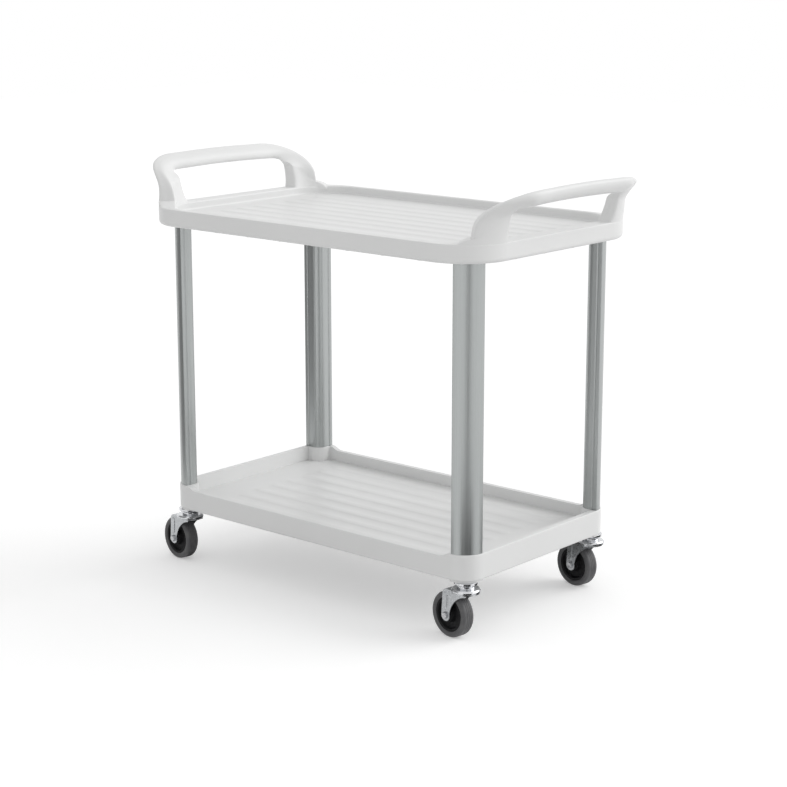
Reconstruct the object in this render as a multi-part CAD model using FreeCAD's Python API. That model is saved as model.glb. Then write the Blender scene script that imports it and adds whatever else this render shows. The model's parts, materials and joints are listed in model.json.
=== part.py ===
# Two-shelf utility cart: moulded trays on four quarter-round uprights and four swivel casters.
# Millimetres. X runs along the length, Y across it, Z up. The origin is on the floor at the middle.
import FreeCAD
import Part
import math
import os

Vector = FreeCAD.Vector
UP = Vector(0, 0, 1)
ORIGIN = Vector(0, 0, 0)

# Wheels
wheel_diameter = 102.0
tyre_width = 32.0
tyre_shoulder = 7.0
core_diameter = 77.0
core_rim_width = 27.0
core_rim_depth = 5.5
core_web_width = 15.0
core_hub_taper = 3.5
core_rim_taper = 3.0
hub_diameter = 30.0
hub_side_gap = 1.0
bush_wall = 2.5
sleeve_wall = 2.5
running_fit = 0.05

# Axle bolts
axle_diameter = 8.0
bolt_head_flats = 13.0
bolt_head_height = 5.3
bolt_corner_angle = 30.0
bolt_face_chamfer = 0.3
nut_height = 7.0
bolt_end_past_nut = 2.0

# Caster forks and swivels
fork_gap = 38.0
fork_steel = 3.0
fork_end_radius = 12.5
fork_rear_overlap = 9.0
fork_front_reach = 20.0
fork_front_angle = 20.0
fork_front_hollow = 0.16
fork_trail = 40.0
fork_crown_radius = 30.0
fork_bead_width = 13.0
fork_bead_depth = 1.2
fork_bead_edge = 1.0
fork_bead_inset = 2.5
fork_bead_margin = 4.0
tyre_to_crown = 5.5
caster_yaw = 8.0
king_pin_diameter = 16.0
king_pin_fit = 0.08
king_pin_head_diameter = 26.0
king_pin_head_height = 4.0
king_pin_head_chamfer = 2.0
king_pin_head_gap = 0.3
ball_diameter = 6.0
ball_count = 10
ball_pitch_radius = 21.0
ball_groove_depth = 1.0
ball_play = 0.05
cup_radius = 31.5
cup_steel = 3.0
cup_skirt_gap = 0.8
collar_waist_diameter = 38.0
collar_waist_height = 10.4
collar_flange_diameter = 52.0
collar_flange_height = 5.0
collar_flare_height = 3.5
stem_diameter = 12.0
stem_length = 50.0
stem_hole_play = 0.4
stem_thread_fit = 0.05
stem_lead = 1.5

# Uprights
upright_radius = 48.0
upright_wall = 3.2
upright_nose_radius = 24.0
upright_edge_radius = 1.5
upright_slot_position = 36.5
upright_slot_radius = 3.0
upright_slot_depth = 1.6
upright_flute_radius = 1.8
upright_flute_depth = 0.9
upright_flute_angles = (22.0, 45.0, 68.0)
upright_inset = 2.5
socket_play = 0.15
insert_play = 0.1
insert_height = 42.0
caster_offset = 20.0

# Lower shelf
lower_length = 904.0
lower_width = 514.0
lower_rim_width = 14.0
lower_skirt_depth = 23.0
lower_lip_height = 26.0
lower_end_rise = 9.0
lower_rise_length = 32.0
lower_edge_radius = 2.0
rim_edge_share = 0.85
lower_bottom_radius = 4.0
lower_socket_wall = 3.5
lower_socket_floor = 17.0
lower_pad_projection = 4.0
lower_hollow_radius = 30.0

# Upper shelf
shelf_clear_height = 620.0
upper_end_overhang = 38.0
upper_side_overhang = 43.0
upper_corner_radius = 110.0
upper_skirt_depth = 22.0
upper_lip_height = 19.0
upper_side_rim_width = 16.0
upper_end_rim_width = 40.0
upper_edge_radius = 3.0
upper_bottom_radius = 10.0
upper_lip_radius = 4.0
upper_cove_radius = 5.0
upper_hollow_radius = 110.0
upper_socket_wall = 4.0
spigot_length = 60.0
spigot_play = 0.3
spigot_wall = 4.0
fixing_screw_position = 29.5

# Decks and undersides of both shelves
shelf_wall = 5.0
deck_thickness = 5.0
web_thickness = 4.0
web_rows = 6
web_columns = 10
deck_rib_count = 8
deck_rib_pitch = 54.0
deck_rib_width = 26.0
deck_rib_flank = 4.0
deck_rib_height = 2.5
deck_rib_margin = 62.0
cut_margin = 10.0

# Handles
handle_rise = 101.0
handle_crown = 3.5
handle_foot_start = 50.0
handle_leg_start = 93.0
handle_shoulder_rise = 12.0
handle_arch_span = 105.0
handle_arch_squareness = 1.85
handle_step = 0.2
handle_leg_thickness = 40.0
handle_leg_taper = 12.0
grip_thickness = 44.0
grip_overhang = 60.0
grip_tilt = 0.38
rake_start_rise = 38.0
rake_power = 1.5
jamb_rake_share = 0.25
jamb_turn_power = 3.0
window_end_margin = 113.0
window_height = 72.0
window_corner_radius = 24.0
foot_spread = 12.0
handle_foot_stations = ((0.0, -8.0, 1.0, -8.0), (0.19, 0.0, 0.67, 0.0), (0.51, 6.5, 0.33, 10.0),
                        (0.84, 10.0, 0.08, 24.0))
leg_squareness = 9.0
grip_squareness = 2.4
handle_section_points = 24
handle_turn_steps = 6
grip_steps = 4

# Fixing screws in the upper sockets
screw_diameter = 4.2
screw_length = 18.0
screw_head_diameter = 9.0
screw_head_height = 2.6
screw_head_room = 0.5
screw_driver_reach = 12.0
screw_play = 0.1

# Heights that follow from the stack of pieces
wheel_radius = wheel_diameter / 2
crown_bottom_z = wheel_diameter + tyre_to_crown
crown_top_z = crown_bottom_z + fork_steel
ball_radius = ball_diameter / 2
ball_z = crown_top_z + ball_radius - ball_groove_depth + ball_play
cup_under_z = ball_z + ball_radius + ball_play - ball_groove_depth
cup_top_z = cup_under_z + cup_steel
flange_bottom_z = cup_top_z + collar_waist_height
caster_mount_z = flange_bottom_z + collar_flange_height
lower_bottom_z = caster_mount_z + lower_pad_projection
lower_deck_z = lower_bottom_z + lower_skirt_depth
lower_side_z = lower_deck_z + lower_lip_height
lower_end_z = lower_side_z + lower_end_rise
socket_floor_z = caster_mount_z + lower_socket_floor
upper_bottom_z = lower_end_z + shelf_clear_height
upper_deck_z = upper_bottom_z + upper_skirt_depth
upper_rim_z = upper_deck_z + upper_lip_height
upright_top_z = upper_deck_z - deck_thickness
handle_top_z = upper_rim_z + handle_rise
fixing_screw_z = (upper_bottom_z + upright_top_z) / 2

# Plan sizes that follow from the lower shelf
lower_corner_radius = upright_radius + upright_inset
upright_x = lower_length / 2 - lower_corner_radius
upright_y = lower_width / 2 - lower_corner_radius
caster_x = upright_x + caster_offset
caster_y = upright_y + caster_offset
upper_length = lower_length + 2 * upper_end_overhang
upper_width = lower_width + 2 * upper_side_overhang
corner_arc = upper_corner_radius * math.pi / 2
handle_middle = corner_arc + upper_width / 2 - upper_corner_radius

# Radii that follow from the axle
axle_radius = axle_diameter / 2
sleeve_radius = axle_radius + running_fit + sleeve_wall
bush_inner_radius = sleeve_radius + running_fit
bush_radius = bush_inner_radius + bush_wall
hub_length = fork_gap - 2 * hub_side_gap
fork_half_width = fork_gap / 2 + fork_steel

CORNERS = {
    "front_left": (-1, -1),
    "front_right": (1, -1),
    "rear_left": (-1, 1),
    "rear_right": (1, 1),
}


def box(x_range, y_range, z_range):
    """A box between two values on each axis."""
    size = [high - low for low, high in (x_range, y_range, z_range)]
    return Part.makeBox(*size, Vector(x_range[0], y_range[0], z_range[0]))


def tube(outer, inner, length, base, axis=UP):
    """A round tube along an axis."""
    return Part.makeCylinder(outer, length, base, axis).cut(Part.makeCylinder(inner, length, base, axis))


def rounded_outline(half_x, half_y, radius, z):
    """A rectangle with round corners, as a wire at one height."""
    x, y = half_x - radius, half_y - radius
    diagonal = radius * math.sqrt(0.5)
    edges = []
    for sx, sy, turned in ((1, 1, False), (-1, 1, True), (-1, -1, False), (1, -1, True)):
        on_end = Vector(sx * half_x, sy * y, z)
        on_side = Vector(sx * x, sy * half_y, z)
        middle = Vector(sx * (x + diagonal), sy * (y + diagonal), z)
        start, end = (on_side, on_end) if turned else (on_end, on_side)
        if edges:
            edges.append(Part.LineSegment(last, start).toShape())
        else:
            first = start
        edges.append(Part.Arc(start, middle, end).toShape())
        last = end
    edges.append(Part.LineSegment(last, first).toShape())
    return Part.Wire(edges)


def rounded_block(half_x, half_y, radius, bottom, top):
    """A rectangular block with round upright edges."""
    face = Part.Face(rounded_outline(half_x, half_y, radius, bottom))
    return face.extrude(Vector(0, 0, top - bottom))


def level_edges(shape, z):
    """The edges of a shape that lie flat at one height."""
    return [e for e in shape.Edges if abs(e.BoundBox.ZMin - z) < 1e-4 and abs(e.BoundBox.ZMax - z) < 1e-4]


def revolved(points):
    """A solid turned about a vertical axis from points of radius and height."""
    corners = [Vector(r, 0, z) for r, z in points]
    face = Part.Face(Part.makePolygon(corners + corners[:1]))
    return face.revolve(ORIGIN, UP, 360)


def at_corner(shape, sx, sy):
    """A shape made for the rear right corner, mirrored to the corner with these signs."""
    if sx < 0:
        shape = shape.mirror(ORIGIN, Vector(1, 0, 0))
    if sy < 0:
        shape = shape.mirror(ORIGIN, Vector(0, 1, 0))
    return shape


def at_all_corners(shape):
    """A shape made for the rear right corner, at all four corners."""
    return [at_corner(shape, sx, sy) for sx, sy in CORNERS.values()]


# Uprights


def quadrant(growth, bottom, top):
    """A prism of the upright's quarter-round section, grown all round, in the rear right corner."""
    arc_radius = upright_radius + growth
    nose_radius = upright_nose_radius + growth
    reach = math.sqrt(arc_radius ** 2 - growth ** 2)
    half = math.sqrt(0.5)

    def point(u, v):
        return Vector(upright_x + u, upright_y + v, bottom)

    nose = upright_nose_radius - nose_radius * half
    edges = [
        Part.LineSegment(point(upright_nose_radius, -growth), point(reach, -growth)).toShape(),
        Part.Arc(point(reach, -growth), point(arc_radius * half, arc_radius * half),
                 point(-growth, reach)).toShape(),
        Part.LineSegment(point(-growth, reach), point(-growth, upright_nose_radius)).toShape(),
        Part.Arc(point(-growth, upright_nose_radius), point(nose, nose),
                 point(upright_nose_radius, -growth)).toShape(),
    ]
    return Part.Face(Part.Wire(edges)).extrude(Vector(0, 0, top - bottom))


def upright_grooves():
    """Round-bottomed slots on the flats and fine flutes round the nose of the upright."""
    length = upright_top_z - socket_floor_z
    slot_centre = upright_slot_radius - upright_slot_depth
    flute_path = upright_nose_radius + upright_flute_radius - upright_flute_depth
    places = [
        (upright_slot_position, -slot_centre, upright_slot_radius),
        (-slot_centre, upright_slot_position, upright_slot_radius),
    ]
    for angle in upright_flute_angles:
        turn = math.radians(angle)
        u = upright_nose_radius - flute_path * math.cos(turn)
        v = upright_nose_radius - flute_path * math.sin(turn)
        places.append((u, v, upright_flute_radius))
    return [
        Part.makeCylinder(radius, length, Vector(upright_x + u, upright_y + v, socket_floor_z))
        for u, v, radius in places
    ]


def fixing_screw_axes():
    """The start on the flat and the direction of each fixing screw in the rear right corner."""
    return [
        (Vector(upright_x, upright_y + fixing_screw_position, fixing_screw_z), Vector(1, 0, 0)),
        (Vector(upright_x + fixing_screw_position, upright_y, fixing_screw_z), Vector(0, 1, 0)),
    ]


def fixing_screw_holes(play):
    """Round cutters along the fixing screws, with play all round."""
    radius = screw_diameter / 2 + play
    return [
        Part.makeCylinder(radius, 2 * screw_length, start - direction * screw_length, direction)
        for start, direction in fixing_screw_axes()
    ]


def fixing_screw_seats():
    """Where each fixing screw's head sits on its socket, and the screw's direction."""
    gap = socket_play + upper_socket_wall
    return [(start - direction * gap, direction) for start, direction in fixing_screw_axes()]


def fixing_screw_access():
    """Round cutters that keep the webs clear of the fixing screws' heads and the driver that turns them."""
    radius = screw_head_diameter / 2 + screw_head_room
    length = screw_head_height + screw_driver_reach
    return [
        Part.makeCylinder(radius, length, seat - direction * length, direction)
        for seat, direction in fixing_screw_seats()
    ]


def make_upright():
    solid = quadrant(0, socket_floor_z, upright_top_z)
    sharp = [
        edge for edge in solid.Edges
        if abs(edge.Length - solid.BoundBox.ZLength) < 1e-6
        and edge.BoundBox.Center.distanceToPoint(
            Vector(upright_x, upright_y, edge.BoundBox.Center.z)) > upright_radius - upright_edge_radius
    ]
    solid = solid.makeFillet(upright_edge_radius, sharp)
    bore = quadrant(-upright_wall, socket_floor_z, upright_top_z)
    return solid.cut([bore] + upright_grooves() + fixing_screw_holes(screw_play))


def make_insert():
    top = socket_floor_z + insert_height
    solid = quadrant(-upright_wall - insert_play, socket_floor_z, top)
    bore = Part.makeCylinder(
        stem_diameter / 2 + stem_thread_fit, insert_height, Vector(caster_x, caster_y, socket_floor_z))
    return solid.cut(bore)


def make_fixing_screws():
    screws = []
    for seat, direction in fixing_screw_seats():
        head = Part.makeCylinder(screw_head_diameter / 2, screw_head_height,
                                 seat - direction * screw_head_height, direction)
        shank = Part.makeCylinder(screw_diameter / 2, screw_length, seat, direction)
        screws.extend(at_all_corners(head.fuse(shank)))
    return Part.makeCompound(screws)


# Shelves


def stadium_outline(half_length, half_width, z):
    """A long outline with fully round ends, as a wire at one height."""
    x = half_length - half_width
    edges = []
    for side in (1, -1):
        near = Vector(side * x, -side * half_width, z)
        far = Vector(side * x, side * half_width, z)
        edges.append(Part.Arc(near, Vector(side * half_length, 0, z), far).toShape())
        edges.append(Part.LineSegment(far, Vector(-side * x, side * half_width, z)).toShape())
    return Part.Wire(edges)


def deck_ribs(deck_z, half_length, count):
    """Long raised ribs with sloping flanks and round ends, side by side across a deck."""
    ribs = []
    for index in range(count):
        y = (index - (count - 1) / 2) * deck_rib_pitch
        outlines = []
        for height, inset in ((0, 0), (deck_rib_height, deck_rib_flank)):
            outline = stadium_outline(half_length - inset, deck_rib_width / 2 - inset, deck_z + height)
            outline.translate(Vector(0, y, 0))
            outlines.append(outline)
        ribs.append(Part.makeLoft(outlines, True, True))
    return ribs


def underside(half_x, half_y, radius, bottom, top, kept):
    """The hollow below a deck, with a grid of stiffening webs and the given blocks left standing."""
    hollow = rounded_block(half_x - shelf_wall, half_y - shelf_wall, radius - shelf_wall, bottom, top)
    webs = []
    for row in range(web_rows):
        y = ((row + 0.5) / web_rows - 0.5) * 2 * half_y
        webs.append(box((-half_x, half_x), (y - web_thickness / 2, y + web_thickness / 2), (bottom, top)))
    for column in range(web_columns):
        x = ((column + 0.5) / web_columns - 0.5) * 2 * half_x
        webs.append(box((x - web_thickness / 2, x + web_thickness / 2), (-half_y, half_y), (bottom, top)))
    return hollow.cut(webs + kept)


def side_dip():
    """The cutter that lowers the lower shelf's long rims between its raised corners, with S-shaped ends."""
    end = upright_x
    foot = end - lower_rise_length
    middle = (end + foot) / 2
    top = lower_end_z + cut_margin
    depth = lower_width / 2 + cut_margin
    rise = lower_end_rise
    bend = (lower_rise_length ** 2 + rise ** 2) / (4 * rise)
    turn = math.asin(lower_rise_length / 2 / bend) / 2

    def point(x, z):
        return Vector(x, -depth, z)

    def s_bend(sign):
        low_mid = point(sign * (foot + bend * math.sin(turn)), lower_side_z + bend * (1 - math.cos(turn)))
        high_mid = point(sign * (end - bend * math.sin(turn)), lower_end_z - bend * (1 - math.cos(turn)))
        join = point(sign * middle, (lower_side_z + lower_end_z) / 2)
        low = Part.Arc(point(sign * foot, lower_side_z), low_mid, join)
        high = Part.Arc(join, high_mid, point(sign * end, lower_end_z))
        return [low.toShape(), high.toShape()]

    edges = [Part.LineSegment(point(-foot, lower_side_z), point(foot, lower_side_z)).toShape()]
    edges += s_bend(1)
    edges.append(Part.LineSegment(point(end, lower_end_z), point(end, top)).toShape())
    edges.append(Part.LineSegment(point(end, top), point(-end, top)).toShape())
    edges.append(Part.LineSegment(point(-end, top), point(-end, lower_end_z)).toShape())
    edges += s_bend(-1)
    outline = Part.Wire(Part.__sortEdges__(edges))
    return Part.Face(outline).extrude(Vector(0, 2 * depth, 0))


def round_lower_rim(body):
    """Round the outer top edge of the lower shelf, all round and over the dips, as far as its wall allows."""
    radius = min(lower_edge_radius, rim_edge_share * (upright_inset - socket_play))
    core = rounded_block(lower_length / 2 - radius, lower_width / 2 - radius, lower_corner_radius - radius,
                         lower_bottom_z, lower_end_z + cut_margin)
    rim = []
    for edge in body.Edges:
        middle = edge.valueAt((edge.FirstParameter + edge.LastParameter) / 2)
        if edge.BoundBox.ZMin > lower_side_z - 1e-3 and not core.isInside(middle, 1e-6, True):
            rim.append(edge)
    return body.makeFillet(radius, rim)


def make_bottom_shelf():
    half_x, half_y = lower_length / 2, lower_width / 2
    body = rounded_block(half_x, half_y, lower_corner_radius, lower_bottom_z, lower_end_z)
    body = body.makeFillet(lower_bottom_radius, level_edges(body, lower_bottom_z))
    body = round_lower_rim(body.cut(side_dip()))
    sockets = at_all_corners(quadrant(lower_socket_wall + socket_play, lower_deck_z, lower_end_z))
    hollow = rounded_block(half_x - lower_rim_width, half_y - lower_rim_width, lower_hollow_radius,
                           lower_deck_z, lower_end_z)
    body = body.cut(hollow.cut(sockets))
    inset = lower_bottom_radius
    pad_limit = rounded_block(half_x - inset, half_y - inset, lower_corner_radius - inset,
                              caster_mount_z, lower_deck_z)
    pad = quadrant(lower_socket_wall + socket_play, caster_mount_z, lower_deck_z).common(pad_limit)
    pads = at_all_corners(pad)
    body = body.cut(underside(half_x, half_y, lower_corner_radius, lower_bottom_z,
                              lower_deck_z - deck_thickness, pads))
    body = body.multiFuse(pads + deck_ribs(lower_deck_z, half_x - lower_corner_radius - deck_rib_margin,
                                           deck_rib_count))
    pockets = at_all_corners(quadrant(socket_play, socket_floor_z, lower_end_z))
    stem_hole = Part.makeCylinder(stem_diameter / 2 + stem_hole_play, lower_socket_floor,
                                  Vector(caster_x, caster_y, caster_mount_z))
    return body.cut(pockets + at_all_corners(stem_hole)).removeSplitter()


def outline_point(along, depth, z):
    """A point beside the top shelf's outline: along it from the long side's end, and inwards by depth."""
    centre_x = upper_length / 2 - upper_corner_radius
    centre_y = upper_width / 2 - upper_corner_radius
    radius = upper_corner_radius - depth
    if along > corner_arc:
        return Vector(centre_x + radius, centre_y - (along - corner_arc), z)
    turn = along / upper_corner_radius
    return Vector(centre_x + radius * math.sin(turn), centre_y + radius * math.cos(turn), z)


def window_share(up):
    """How far up a handle's window a height is, from 0 at the sill to 1 at the top."""
    return max(0.0, min(1.0, (up - upper_rim_z) / window_height))


def handle_section(outer, inner, outer_bend, inner_bend):
    """One closed section of a handle between an outer and a window-side place, given along and up.

    Each bend goes from 0 in the leg to 1 in the grip, which leans out past the end of the shelf.
    """
    grip_depth = grip_thickness / 2 - grip_overhang
    squareness = 2 / leg_squareness + (2 / grip_squareness - 2 / leg_squareness) * outer_bend
    points = []
    for step in range(handle_section_points):
        angle = math.pi + 2 * math.pi * step / handle_section_points
        across = math.copysign(abs(math.cos(angle)) ** squareness, math.cos(angle))
        through = math.copysign(abs(math.sin(angle)) ** squareness, math.sin(angle))
        outer_share = (1 + across) / 2
        bend = inner_bend + (outer_bend - inner_bend) * outer_share
        along = inner[0] + (outer[0] - inner[0]) * outer_share
        up = inner[1] + (outer[1] - inner[1]) * outer_share
        leg_thickness = handle_leg_thickness - handle_leg_taper * window_share(up)
        leg_depth = handle_step + leg_thickness / 2
        depth_half = (leg_thickness + (grip_thickness - leg_thickness) * bend) / 2
        up -= grip_tilt * bend * through * depth_half
        depth = leg_depth + (grip_depth - leg_depth) * bend + through * depth_half
        points.append(outline_point(along, depth, up))
    return points


def outer_rake(up):
    """How far the outer side of a leg at this height has gone over from leg to grip, from 0 to 1."""
    start = upper_rim_z + rake_start_rise
    return max(0.0, min(1.0, (up - start) / (handle_top_z - start))) ** rake_power


def jamb_rake(up):
    """How far the window side of a leg at this height leans over towards the grip."""
    return jamb_rake_share * window_share(up)


def handle_sections():
    """The sections of one leg, from its foot in the rim up and round to the grip's straight run."""
    leg_end = corner_arc - upper_corner_radius + window_end_margin
    window_top = upper_rim_z + window_height
    corner_up = window_top - window_corner_radius
    corner_along = leg_end + window_corner_radius
    arch_base = upper_rim_z + handle_shoulder_rise
    arch_along = handle_leg_start + handle_arch_span
    arch_height = handle_top_z - arch_base
    ramp_length = handle_leg_start - handle_foot_start
    sections = []
    for outer_share, outer_rise, inner_share, inner_rise in handle_foot_stations:
        outer = (handle_foot_start + ramp_length * outer_share, upper_rim_z + outer_rise)
        inner = (leg_end + foot_spread * inner_share, upper_rim_z + inner_rise)
        sections.append(handle_section(outer, inner, 0, jamb_rake(inner[1])))
    for step in range(handle_turn_steps + 1):
        turn = math.pi / 2 * step / handle_turn_steps
        across = math.cos(turn) ** (2 / handle_arch_squareness) if step < handle_turn_steps else 0.0
        outer = (arch_along - handle_arch_span * across,
                 arch_base + arch_height * math.sin(turn) ** (2 / handle_arch_squareness))
        inner = (corner_along - window_corner_radius * math.cos(turn),
                 corner_up + window_corner_radius * math.sin(turn))
        inner_bend = jamb_rake(inner[1]) + (1 - jamb_rake_share) * math.sin(turn) ** jamb_turn_power
        sections.append(handle_section(outer, inner, outer_rake(outer[1]), inner_bend))
    for step in range(1, grip_steps):
        share = step / grip_steps
        crown = handle_crown * share * (2 - share)
        outer_along = arch_along + (handle_middle - arch_along) * share
        inner_along = corner_along + (handle_middle - corner_along) * share
        outer = (outer_along, handle_top_z + crown)
        inner = (inner_along, window_top + crown)
        sections.append(handle_section(outer, inner, 1, 1))
    return sections


def make_handle():
    """The handle of the right end: a hoop lofted up one leg, along the grip and down the other."""
    rear = handle_sections()
    crown = handle_section((handle_middle, handle_top_z + handle_crown),
                           (handle_middle, upper_rim_z + window_height + handle_crown), 1, 1)
    front = [[Vector(p.x, -p.y, p.z) for p in points] for points in reversed(rear)]
    wires = []
    for points in rear + [crown] + front:
        curve = Part.BSplineCurve()
        curve.interpolate(points + points[:1])
        wires.append(Part.Wire([curve.toShape()]))
    return Part.makeLoft(wires, True, False)


def make_top_shelf():
    half_x, half_y = upper_length / 2, upper_width / 2
    body = rounded_block(half_x, half_y, upper_corner_radius, upper_bottom_z, upper_rim_z)
    body = body.makeFillet(upper_bottom_radius, level_edges(body, upper_bottom_z))
    body = body.makeFillet(upper_edge_radius, level_edges(body, upper_rim_z))
    inner_x, inner_y = half_x - upper_end_rim_width, half_y - upper_side_rim_width
    hollow = rounded_block(inner_x, inner_y, upper_hollow_radius, upper_deck_z, upper_rim_z)
    hollow = hollow.makeFillet(upper_cove_radius, level_edges(hollow, upper_deck_z))
    body = body.cut(hollow)
    lip = [e for e in level_edges(body, upper_rim_z)
           if e.BoundBox.XMax < inner_x + 1e-3 and e.BoundBox.XMin > -inner_x - 1e-3
           and abs(e.BoundBox.YMax) < inner_y + 1e-3 and abs(e.BoundBox.YMin) < inner_y + 1e-3]
    body = body.makeFillet(upper_lip_radius, lip)
    sockets = at_all_corners(quadrant(upper_socket_wall + socket_play, upper_bottom_z, upright_top_z))
    body = body.cut(underside(half_x, half_y, upper_corner_radius, upper_bottom_z, upright_top_z, sockets))
    pockets = at_all_corners(quadrant(socket_play, upper_bottom_z, upright_top_z))
    body = body.cut(pockets)
    spigot = quadrant(-upright_wall - spigot_play, upright_top_z - spigot_length, upright_top_z)
    core = quadrant(-upright_wall - spigot_play - spigot_wall, upright_top_z - spigot_length, upper_bottom_z)
    handle = make_handle()
    body = body.multiFuse(at_all_corners(spigot.cut(core))
                          + deck_ribs(upper_deck_z, inner_x - deck_rib_margin, deck_rib_count)
                          + [handle, handle.mirror(ORIGIN, Vector(1, 0, 0))])
    cutters = fixing_screw_holes(screw_play) + fixing_screw_access()
    holes = [hole for cutter in cutters for hole in at_all_corners(cutter)]
    return body.cut(holes).removeSplitter()


# Casters, each made about its swivel axis with the wheel trailing towards -X


def hexagon(flats, height, base, direction):
    """A hexagonal prism along Y from a base point, in a direction of 1 or -1, its outer corners turned off."""
    radius = flats / math.sqrt(3)
    corners = [
        base + Vector(radius * math.cos(math.radians(60 * k)), 0, radius * math.sin(math.radians(60 * k)))
        for k in range(7)
    ]
    prism = Part.Face(Part.makePolygon(corners)).extrude(Vector(0, direction * height, 0))
    face_radius = flats / 2 - bolt_face_chamfer
    spread = height / math.tan(math.radians(bolt_corner_angle))
    return prism.common(Part.makeCone(face_radius + spread, face_radius, height, base, Vector(0, direction, 0)))


def fork_leg_outline(y):
    """The side outline of a fork leg: a round end at the axle and a hollow front edge up to the crown."""
    axle = Vector(-fork_trail, y, wheel_radius)
    rear_x = -fork_trail - fork_rear_overlap
    end = fork_end_radius
    rear_top = Vector(rear_x, y, crown_top_z)
    front_top = Vector(fork_front_reach, y, crown_top_z)
    front_low = Vector(fork_front_reach, y, crown_bottom_z - fork_steel)
    rear_end = axle + Vector(-end, 0, 0)
    low = axle + Vector(0, 0, -end)
    turn = math.radians(fork_front_angle)
    front_end = axle + Vector(end * math.cos(turn), 0, end * math.sin(turn))
    chord = front_low - front_end
    sag = Vector(-chord.z, 0, chord.x) * fork_front_hollow
    hollow = (front_end + front_low) * 0.5 + sag
    edges = [
        Part.LineSegment(rear_end, rear_top).toShape(),
        Part.LineSegment(rear_top, front_top).toShape(),
        Part.LineSegment(front_top, front_low).toShape(),
        Part.Arc(front_low, hollow, front_end).toShape(),
        Part.Arc(front_end, low, rear_end).toShape(),
    ]
    return Part.Wire(edges)


def fork_bead(y, width, depth):
    """The long pressed bead of a fork leg beside its rear edge, from a plane at y and depth mm along Y."""
    axle = Vector(-fork_trail, y, wheel_radius)
    rear_end = axle + Vector(-fork_end_radius, 0, 0)
    rear_top = Vector(-fork_trail - fork_rear_overlap, y, crown_top_z)
    along = (rear_top - rear_end).normalize()
    across = Vector(along.z, 0, -along.x)
    start = bolt_head_flats / math.sqrt(3) + fork_bead_margin + fork_bead_width / 2
    stop = crown_bottom_z - fork_bead_margin - fork_bead_width / 2 - wheel_radius
    middle = rear_end + across * (fork_bead_inset + fork_bead_width / 2)
    low, high = middle + along * start, middle + along * (stop / along.z)
    half = width / 2
    edges = [
        Part.LineSegment(low + across * half, high + across * half).toShape(),
        Part.Arc(high + across * half, high + along * half, high - across * half).toShape(),
        Part.LineSegment(high - across * half, low - across * half).toShape(),
        Part.Arc(low - across * half, low - along * half, low + across * half).toShape(),
    ]
    return Part.Face(Part.Wire(edges)).extrude(Vector(0, depth, 0))


def make_fork():
    crown = Part.makeCylinder(fork_crown_radius, fork_steel, Vector(0, 0, crown_bottom_z))
    bridge = box((-fork_trail - fork_rear_overlap, fork_front_reach), (-fork_half_width, fork_half_width),
                 (crown_bottom_z, crown_top_z))
    legs = []
    grooves = []
    for side in (-1, 1):
        inner = side * fork_gap / 2
        outer = side * fork_half_width
        legs.append(Part.Face(fork_leg_outline(inner)).extrude(Vector(0, side * fork_steel, 0)))
        bead = fork_bead(inner, fork_bead_width, side * (fork_steel + fork_bead_depth))
        crest = [edge for edge in bead.Edges
                 if all(abs(v.Y - outer - side * fork_bead_depth) < 1e-4 for v in edge.Vertexes)]
        legs.append(bead.makeFillet(fork_bead_edge, crest))
        grooves.append(fork_bead(inner, fork_bead_width - fork_steel, side * fork_bead_depth))
    body = crown.multiFuse([bridge] + legs).removeSplitter()
    race = Part.makeTorus(ball_pitch_radius, ball_radius + ball_play, Vector(0, 0, ball_z))
    king_hole = Part.makeCylinder(king_pin_diameter / 2 + king_pin_fit, fork_steel,
                                  Vector(0, 0, crown_bottom_z))
    axle_hole = Part.makeCylinder(axle_radius + running_fit, 2 * fork_half_width,
                                  Vector(-fork_trail, -fork_half_width, wheel_radius), Vector(0, 1, 0))
    return body.cut([race, king_hole, axle_hole] + grooves)


def make_stem():
    king = king_pin_diameter / 2
    head = king_pin_head_diameter / 2
    flange = collar_flange_diameter / 2
    waist = collar_waist_diameter / 2
    stem = stem_diameter / 2
    head_top = crown_bottom_z - king_pin_head_gap
    top = caster_mount_z + stem_length
    return revolved([
        (0, head_top - king_pin_head_height),
        (head - king_pin_head_chamfer, head_top - king_pin_head_height),
        (head, head_top - king_pin_head_height + king_pin_head_chamfer),
        (head, head_top),
        (king, head_top),
        (king, cup_top_z),
        (waist, cup_top_z),
        (waist, flange_bottom_z - collar_flare_height),
        (flange, flange_bottom_z),
        (flange, caster_mount_z),
        (stem, caster_mount_z),
        (stem, top - stem_lead),
        (stem - stem_lead, top),
        (0, top),
    ])


def make_cup():
    skirt_z = crown_top_z + cup_skirt_gap
    inner = cup_radius - cup_steel
    hole = king_pin_diameter / 2
    solid = revolved([
        (hole, cup_under_z),
        (inner, cup_under_z),
        (inner, skirt_z),
        (cup_radius, skirt_z),
        (cup_radius, cup_top_z - cup_steel),
        (cup_radius - cup_steel, cup_top_z),
        (hole, cup_top_z),
    ])
    return solid.cut(Part.makeTorus(ball_pitch_radius, ball_radius + ball_play, Vector(0, 0, ball_z)))


def make_balls():
    balls = []
    for index in range(ball_count):
        turn = 2 * math.pi * index / ball_count
        place = Vector(ball_pitch_radius * math.cos(turn), ball_pitch_radius * math.sin(turn), ball_z)
        balls.append(Part.makeSphere(ball_radius, place))
    return Part.makeCompound(balls)


def on_axle(solid):
    """A solid turned about the vertical at the origin, laid along the axle instead."""
    solid.rotate(ORIGIN, Vector(1, 0, 0), -90)
    solid.translate(Vector(-fork_trail, 0, wheel_radius))
    return solid


def make_bolt():
    head_side = -fork_half_width
    length = 2 * fork_half_width + nut_height + bolt_end_past_nut
    base = Vector(-fork_trail, head_side, wheel_radius)
    shank = Part.makeCylinder(axle_radius, length, base, Vector(0, 1, 0))
    return shank.fuse(hexagon(bolt_head_flats, bolt_head_height, base, -1))


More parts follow.
